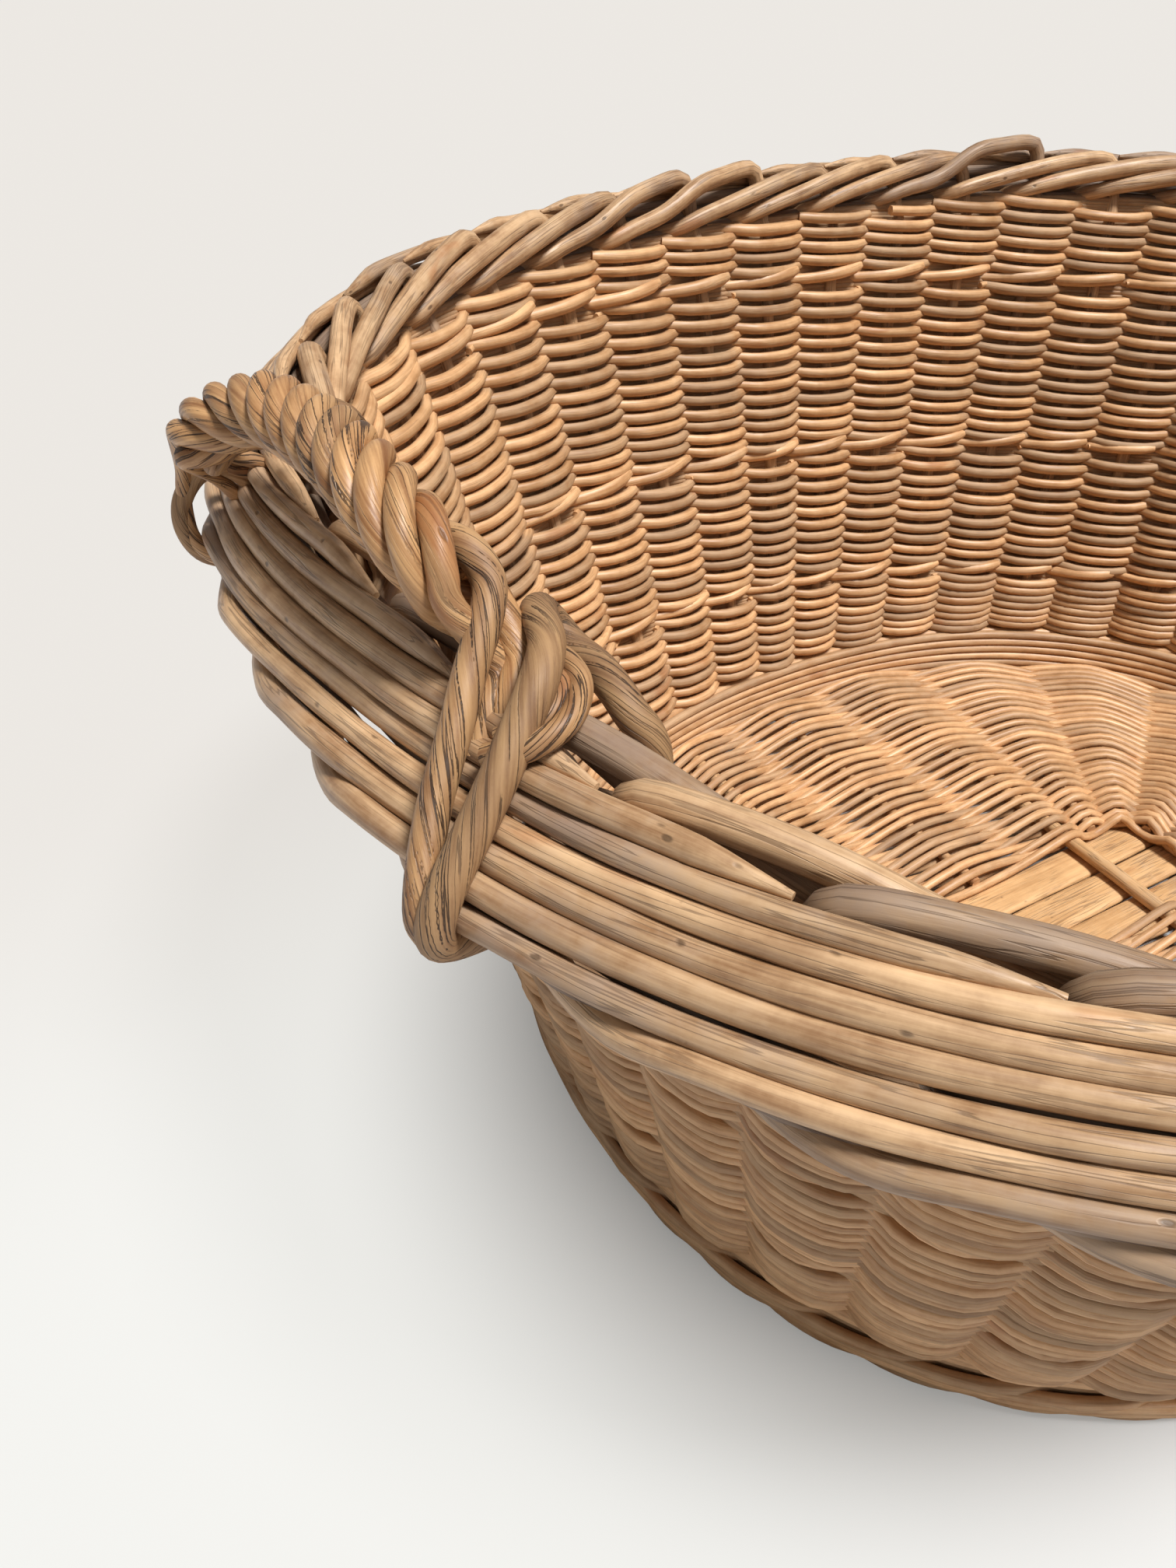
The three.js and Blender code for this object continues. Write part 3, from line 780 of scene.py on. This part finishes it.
# Plain thin rounds in the middle of the side, between the outer and inner faces of its rows. They stand for
# the rods' tips and keep light out, and aren't read off the photograph.
tips = {band: Lines() for band in BANDS}
for band, rows in cores.items():
    for height in rows:
        for shift in (0.0, 0.5 * CORE_PITCH):
            reached = np.minimum(height + shift, WALL_REACH)
            points = wall_point(np.arange(STAKES) + 0.5, reached / WALL_HEIGHT, CORE_OUT)
            tips[band].add(points, CORE_RADIUS, CORE_TONE, closed=True)

for band, lines in bands.items():
    shaping = {"Sides": 6, "Spacing": 0.0054, "Wander": 0.0006, "Seed": 8.0}
    rods = sweep(f"side_weave_{band}_rods", lines, weave_willow, **shaping)
    filling = sweep(f"side_weave_{band}_tips", tips[band], weave_willow, Sides=5, Spacing=0.011)
    for piece in (rods, filling):
        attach(piece, "root")
        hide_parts(f"side_weave_{band}")

# Foot wale
# Three rods laid round the edge of the base and twisted over each other, under the side. The basket stands
# on them.
WALE_TURNS = 15
WALE_STRANDS = 3
WALE_RADIUS = 2.7 * MM
WALE_MIDDLE = (-6.0 * MM, 5.1 * MM)
WALE_REACH = (3.6 * MM, 2.3 * MM)
WALE_TONE = 0.35
WALE_TONE_STEP = 0.2
lines = Lines()
for strand in range(WALE_STRANDS):
    stations = np.linspace(0, STAKES, 6 * WALE_TURNS, endpoint=False)
    phase = 2 * math.pi * (WALE_TURNS * stations / STAKES + strand / WALE_STRANDS)
    points = base_point(stations, WALE_MIDDLE[0] + WALE_REACH[0] * np.cos(phase), 0.0)
    points[:, 2] = WALE_MIDDLE[1] + WALE_REACH[1] * np.sin(phase)
    lines.add(points, WALE_RADIUS, WALE_TONE + WALE_TONE_STEP * strand, closed=True)
piece = sweep("foot_wale_rods", lines, weave_willow, Sides=10, Spacing=0.006, Seed=2.0)
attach(piece, "root")
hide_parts("foot_wale")

# Base weave
# Fine rods woven round and round over twenty base sticks, from the slath in the middle out to the foot.
# Three sticks run straight across each side and seven fan out round each end.
SLATH = (0.100, 0.0335, 8.0)
BASE_EDGE = (BASE[0] - 0.0168, BASE[1] - 0.0168, BASE[2])
BASE_MIDDLE = 13.7 * MM
BASE_DEPTH = 5.2 * MM
BASE_ROWS = 51
BASE_TONES = (0.3, 1.0)
BASE_WEAVER_RADIUS = 2.4 * MM
BASE_STICK_RADIUS = 2.9 * MM
SIDE_STICKS = (0.056, -0.014, -0.084)
FAN_GAPS = 8
LONG_STICK_TOP = 9.1 * MM
LONG_STICK_EDGE = 35 * MM

# A row lies full against each stick for this share of the gap either way
BASE_HUG = 0.12

# The ovals turn from the slath's corner to the foot's with this power of their share
ROUNDING = 0.45


class Oval:
    """One oval of the base, share 0 round the slath and 1 at the foot, walked by shares of its length."""

    def __init__(self, share):
        half = [a + (b - a) * share for a, b in zip(SLATH[:2], BASE_EDGE[:2])]
        corner = 1 / (1 / SLATH[2] + (1 / BASE_EDGE[2] - 1 / SLATH[2]) * max(share, 0) ** ROUNDING)
        self.ring = outline((*half, corner), np.linspace(0, 2 * math.pi, 1441))
        self.length = lengths_along(self.ring)
        self.length /= self.length[-1]

    def at(self, shares):
        wanted = np.asarray(shares) % 1
        return np.stack([np.interp(wanted, self.length, self.ring[:, axis]) for axis in (0, 1)], -1)

    def sticks(self):
        """The shares at which the oval crosses the base sticks."""
        half = len(self.ring) // 2 + 1
        far = np.interp(SIDE_STICKS, self.ring[:half, 0][::-1], self.length[:half][::-1])
        right, left = far[0], far[-1]
        fan = np.arange(FAN_GAPS) / FAN_GAPS
        near = 1 - far[::-1]
        parts = [2 * right * fan[: FAN_GAPS // 2], far, left + (1 - 2 * left) * fan[1:], near]
        return np.concatenate([*parts, 1 - right + 2 * right * fan[1: FAN_GAPS // 2]])


rng = np.random.default_rng(9)
lines = Lines()
for row in range(BASE_ROWS):
    oval = Oval((row - 0.4 + rng.normal(0, 0.1)) / (BASE_ROWS - 0.8))
    sticks = oval.sticks()
    gaps = np.diff(np.append(sticks, 1 + sticks[0]))
    before = sticks - BASE_HUG * np.roll(gaps, 1)
    shares = np.stack([before, sticks + BASE_HUG * gaps, sticks + 0.5 * gaps], 1).ravel()
    side = np.array([(-1) ** (i + row) for i in range(len(sticks))])
    up = BASE_DEPTH * np.stack([side, side, 0 * side], 1).ravel() * rng.uniform(0.88, 1.04, 3 * len(sticks))
    flat = oval.at(shares)

    # Near the middle the rows keep above the long sticks
    lowest = np.where(abs(flat[:, 1]) < LONG_STICK_EDGE, LONG_STICK_TOP + BASE_WEAVER_RADIUS, 0)
    points = np.concatenate([flat, np.maximum(BASE_MIDDLE + up, lowest)[:, None]], 1)
    tones = np.repeat(rng.uniform(*BASE_TONES, len(sticks) // 2), 6)
    sizes = BASE_WEAVER_RADIUS * np.repeat(rng.uniform(0.9, 1.1, len(sticks)), 3)
    lines.add(points, sizes, tones, closed=True)

# The base sticks under the rows, but for those that the two cross sticks make
ovals = [Oval(share) for share in np.linspace(0, 1, 9)]
for i in range(len(ovals[0].sticks())):
    flat = np.array([oval.at(oval.sticks()[i]) for oval in ovals])
    if abs(flat[:, 0] - SIDE_STICKS[0]).max() < MM or abs(flat[:, 0] - SIDE_STICKS[2]).max() < MM:
        continue
    points = np.concatenate([flat, np.full((len(ovals), 1), BASE_MIDDLE)], 1)
    lines.add(points, BASE_STICK_RADIUS, rng.uniform(0.3, 0.7))
piece = sweep("base_weave_rods", lines, weave_willow, Sides=6, Spacing=0.0058, Wander=0.0006, Seed=5.0)
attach(piece, "root")
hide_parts("base_weave")

# Base sticks
# Three flat split sticks lie side by side along the middle of the base. Two round ones cross over them and
# run on through the weave.
LONG_STICKS = 3
LONG_STICK_PITCH = 22.1 * MM
LONG_STICK_HALF = (0.2437, 0.0109, 0.00225)
CROSS_STICKS = {1: (SIDE_STICKS[2], 0.197), 2: (SIDE_STICKS[0], 0.203)}
CROSS_STICK_RADIUS = 4 * MM
CROSS_STICK_WAVE = 0.0006
STICK_TONES = {"long": 0.7, "cross": 0.6}
STICK_UNEVEN = 0.008
STICK_BOW = 0.0003
STICK_ROUNDING = 0.002
stick_willow = willow_material(
    "stick willow",
    pale=(0.68, 0.42, 0.20, 1),
    deep=(0.44, 0.24, 0.10, 1),
    grey=(0.42, 0.34, 0.25, 1),
    greying=0.4,
    grained=0.75,
    cracks=0.5,
    crack_colour=(0.10, 0.055, 0.03, 1),
    knotty=0.5,
    bump=0.5,
)


def split_stick(name, place, half, number):
    """A flat stick along X with rounded edges, a little uneven in width, thickness and height."""
    rings = 80
    around = 20
    along = np.linspace(-half[0], half[0], rings)[:, None]
    turn = np.linspace(0, 2 * math.pi, around, endpoint=False)
    local = np.random.default_rng(number)
    uneven = local.normal(0, STICK_UNEVEN, (rings, 1))
    wide = half[1] * (0.97 + 0.03 * np.sin(along * 37 + local.uniform(0, 6)) + uneven)
    ends = np.clip((half[0] - np.abs(along)) / STICK_ROUNDING, 0.0, 1.0) ** 0.5
    y = np.sign(np.cos(turn)) * np.abs(np.cos(turn)) ** 0.45
    z = np.sign(np.sin(turn)) * np.abs(np.sin(turn)) ** 0.8
    bow = STICK_BOW * np.sin(along * 29 + number)
    across = place[1] + y * wide * (0.9 + 0.1 * ends)
    height = place[2] + bow + z * half[2] * (0.3 + 0.7 * ends)
    verts = np.stack([along + 0 * y, across, height], -1).reshape(-1, 3)
    faces = []
    for start in range(0, (rings - 1) * around, around):
        for a in range(around):
            b = (a + 1) % around
            faces.append((start + a, start + b, start + around + b, start + around + a))
    faces.append(tuple(reversed(range(around))))
    faces.append(tuple((rings - 1) * around + a for a in range(around)))
    mesh = bpy.data.meshes.new(name)
    mesh.from_pydata(verts.tolist(), [], faces)
    grain = verts[:, [1, 2, 0]].astype("f")
    mesh.attributes.new("grain", "FLOAT_VECTOR", "POINT").data.foreach_set("vector", grain.ravel())
    for key, value in (("rod", number), ("tone", STICK_TONES["long"])):
        values = np.full(len(verts), value, "f")
        mesh.attributes.new(key, "FLOAT", "POINT").data.foreach_set("value", values)
    mesh.materials.append(stick_willow)
    for face in mesh.polygons:
        face.use_smooth = len(face.vertices) == 4
    return new_object(name, mesh)


for i in range(LONG_STICKS):
    place = (0, (i - 1) * LONG_STICK_PITCH, LONG_STICK_TOP - LONG_STICK_HALF[2])
    piece = split_stick(f"long_base_stick_{i + 1}_wood", place, LONG_STICK_HALF, i + 1)
    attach(piece, "root")
    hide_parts(f"long_base_stick_{i + 1}")
for number, (x, reach) in CROSS_STICKS.items():
    lines = Lines()
    steps = np.linspace(-reach, reach, 9)
    points = [(x + CROSS_STICK_WAVE * math.sin(y * 60), y, BASE_MIDDLE) for y in steps]
    lines.add(points, CROSS_STICK_RADIUS, STICK_TONES["cross"])
    name = f"cross_base_stick_{number}"
    piece = sweep(name + "_wood", lines, stick_willow, Sides=12, Spacing=0.006, Wander=0.001, Seed=4.0)
    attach(piece, "root")
    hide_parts(name)

# Handles
# A bow over each end of the border, roped with five twisted willow rods. At each foot of the bow one of
# them runs on over the outer face and hooks under the brim, and the others are tucked into the border. A
# loop round the border binds each foot, with two curls at the near one.
HANDLE_STATION = 21.45
ROPE_REACH = 6.7 * MM
ROPE_STRAND = 3.5 * MM
STRAND_RADIUS = 3.9 * MM
TAIL_RADIUS = 2.4 * MM
LASHING_RADIUS = {"near": 4.3 * MM, "far": 3.1 * MM}
LASHING_TONE = 0.1
CURL_TONE = 0.5
ROPE_TONE = 0.4
ROPE_TONE_STEP = 0.1
ROPE_LAY = 58 * MM
ROPE_STEP = 5.0 * MM
TRIED_TURNS = np.arange(72) / 72
STRAND_TWIST = 110.0
STRAND_SIDES = 18
STRAND_SPACING = 1.5 * MM

# The point at which the rod that runs on over the face leaves the rope, counted from the rope's end
LEAVES = 4

# The rope's middle line, the ends of its rods, the loops and the curls: stations from the handle's middle,
# millimetres out and up
ROPE_WAY = [
    (-1.42, 44.0, 4.0),
    (-1.3, 41.5, 12.0),
    (-1.15, 35.5, 19.0),
    (-0.95, 29.0, 24.0),
    (-0.69, 24.5, 28.0),
    (-0.09, 20.5, 31.5),
    (0.3, 20.5, 33.0),
    (0.75, 21.0, 32.5),
    (1.14, 19.8, 28.0),
    (1.35, 16.0, 20.5),
    (1.45, 12.5, 15.5),
]
NEAR_ENDS = [
    [(1.28, 10.5, 26.5), (1.43, 9.5, 21.5), (1.56, 14, 16.5), (1.67, 21.5, 8.5), (1.79, 29, 0.9),
     (1.86, 34.4, -4.9), (1.95, 41, -11.6), (2.05, 47, -17.9), (2.13, 51.4, -23.6), (2.17, 53, -29),
     (2.18, 50, -35), (2.18, 42, -37.5), (2.18, 30, -36)],
    [(1.64, 14, 6), (1.76, 20, 0), (1.85, 26, -8)],
    [(1.6, 4, 8), (1.66, 2, 0), (1.7, 2, -10)],
    [(1.52, 8, 6), (1.56, 10, -2), (1.6, 12, -10)],
    [(1.66, 9, 9), (1.78, 14, 4), (1.84, 20, -3)],
]
FAR_ENDS = [
    [(-1.6, 50, -3), (-1.68, 51.5, -12), (-1.7, 52.5, -21), (-1.68, 51.5, -29), (-1.62, 46, -34.5),
     (-1.6, 36, -37)],
    [(-1.5, 41, -5), (-1.54, 36, -12), (-1.56, 31, -20)],
    [(-1.48, 37, -1), (-1.52, 30, -6), (-1.54, 25, -14)],
    [(-1.44, 34, 2), (-1.48, 27, -2), (-1.52, 22, -10)],
    [(-1.46, 39, -1), (-1.52, 33, -7), (-1.56, 28, -16)],
]
LOOP_NEAR = [
    (2.34, -5, -20), (2.31, -7, -12), (2.26, -6.5, -6), (2.17, -5, -1.5), (2.03, -5.5, 1.5),
    (1.84, -6.8, 2.5), (1.65, -6, 3.8), (1.52, -4.5, 7.5), (1.52, -1, 12.2), (1.65, 2.5, 14.4),
    (1.86, 7.5, 14.4), (2.03, 15.5, 12.5), (2.1, 22.4, 6.7), (2.15, 28.8, 1), (2.18, 34.8, -5.3),
    (2.21, 41.7, -12.2), (2.23, 47.3, -18), (2.25, 51.8, -24.3), (2.25, 53, -30), (2.22, 49.5, -35.5),
    (2.22, 41, -38), (2.24, 30, -38), (2.28, 18, -33), (2.34, 5, -27),
]
CURL_RADIUS = 2.8 * MM
CURLS = [
    [(1.72, 4, 8.5), (1.88, 3.5, 9.5), (2.07, 6, 9), (2.2, 12.5, 7.5), (2.23, 19.5, 5.5), (2.16, 26, 2.5),
     (2.02, 29, -1)],
    [(1.9, 9, 9), (2.04, 10, 8.5), (2.12, 15, 7), (2.1, 20.5, 4.5), (2.0, 25, 1)],
]
LOOP_FAR = [
    (-1.7, -5, -20), (-1.7, -7, -10), (-1.7, -6, -1), (-1.7, -2, 6), (-1.7, 5, 9.5), (-1.7, 13, 10),
    (-1.7, 20.5, 8), (-1.7, 29, 1.5), (-1.7, 38, -5), (-1.7, 47, -9), (-1.7, 53, -17), (-1.7, 54, -26),
    (-1.7, 50, -34.5), (-1.7, 41, -38), (-1.7, 30, -38), (-1.7, 18, -33), (-1.7, 5, -27),
]
handle_willow = willow_material(
    "handle willow",
    pale=(0.58, 0.335, 0.15, 1),
    deep=(0.19, 0.072, 0.022, 1),
    grey=(0.34, 0.24, 0.15, 1),
    greying=0.15,
    grained=0.85,
    cracks=0.95,
    crack_colour=(0.045, 0.022, 0.01, 1),
    knotty=0.5,
    bump=0.7,
)


def smooth_way(points, step):
    """The points of a smooth curve through points, evenly spaced."""
    points = np.array(points, float)
    padded = np.concatenate([[2 * points[0] - points[1]], points, [2 * points[-1] - points[-2]]])
    fine = []
    for a, b, c, d in zip(padded, padded[1:], padded[2:], padded[3:]):
        square = 2 * a - 5 * b + 4 * c - d
        cube = 3 * b - a - 3 * c + d
        fine.extend(0.5 * (2 * b + (c - a) * t + square * t**2 + cube * t**3) for t in np.arange(24) / 24)
    fine.append(points[-1])
    fine = np.array(fine)
    length = lengths_along(fine)
    wanted = np.linspace(0, length[-1], max(3, round(length[-1] / step)))
    return np.stack([np.interp(wanted, length, fine[:, axis]) for axis in range(3)], 1)


def side_frames(way):
    """Two directions square to a way at each point, carried along it without twist."""
    ahead = np.gradient(way, axis=0)
    ahead /= np.linalg.norm(ahead, axis=1, keepdims=True)
    side = np.cross(ahead[0], (0.3, 0.2, 1.0))
    sides = []
    for direction in ahead:
        side = side - direction * side.dot(direction)
        side /= np.linalg.norm(side)
        sides.append(side)
    sides = np.array(sides)
    return sides, np.cross(ahead, sides)


def wound(way, turned_by):
    """A strand's way round the rope's middle line, begun after a share of a turn."""
    sides, others = side_frames(way)
    phase = 2 * math.pi * (lengths_along(way) / ROPE_LAY + turned_by)
    return way + ROPE_REACH * (np.cos(phase)[:, None] * sides + np.sin(phase)[:, None] * others)


def nearest_ends(tips, ends):
    """Shares the ends out among the tips, so that the joins are as short as can be."""
    best = min(
        itertools.permutations(range(len(ends))),
        key=lambda order: sum(np.linalg.norm(tip - ends[k][0]) for tip, k in zip(tips, order)),
    )
    return [ends[k] for k in best]


def handle_points(middle, places):
    return [border_point(middle + at, out * MM, up * MM) for at, out, up in places]


for side, turned in (("left", 0), ("right", STAKES / 2)):
    middle = HANDLE_STATION + turned
    way = smooth_way(handle_points(middle, ROPE_WAY), ROPE_STEP)
    near = [handle_points(middle, end) for end in NEAR_ENDS]
    misses = [np.linalg.norm(wound(way, turned_by)[-LEAVES] - near[0][0]) for turned_by in TRIED_TURNS]
    first = TRIED_TURNS[int(np.argmin(misses))]
    strands = [wound(way, first + strand / len(near)) for strand in range(len(near))]
    strands[0] = strands[0][:1 - LEAVES]
    near[1:] = nearest_ends([strand[-1] for strand in strands[1:]], near[1:])
    far = nearest_ends([strand[0] for strand in strands], [handle_points(middle, end) for end in FAR_ENDS])
    lines = Lines()
    for number, (before, strand, after) in enumerate(zip(far, strands, near)):
        points = np.array([*reversed(before), *strand[1:-1], *after])
        sizes = [TAIL_RADIUS] * len(before) + [ROPE_STRAND] * (len(strand) - 2) + [STRAND_RADIUS] * len(after)
        lines.add(points, sizes, ROPE_TONE + ROPE_TONE_STEP * number, twist=STRAND_TWIST)
    shaping = {"Sides": STRAND_SIDES, "Spacing": STRAND_SPACING}
    piece = sweep(f"handle_rope_{side}_strands", lines, handle_willow, Seed=1.0, **shaping)
    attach(piece, "root")
    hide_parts(f"handle_rope_{side}")
    for end, places in (("near", LOOP_NEAR), ("far", LOOP_FAR)):
        lines = Lines()
        loop = handle_points(middle, places)
        lines.add(loop, LASHING_RADIUS[end], LASHING_TONE, closed=True, twist=STRAND_TWIST)
        if end == "near":
            for curl in CURLS:
                lines.add(handle_points(middle, curl), CURL_RADIUS, CURL_TONE, twist=STRAND_TWIST)
        name = f"handle_lashing_{side}_{end}"
        piece = sweep(name + "_strand", lines, handle_willow, Seed=6.0, **shaping)
        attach(piece, "root")
        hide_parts(name)

low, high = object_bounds()
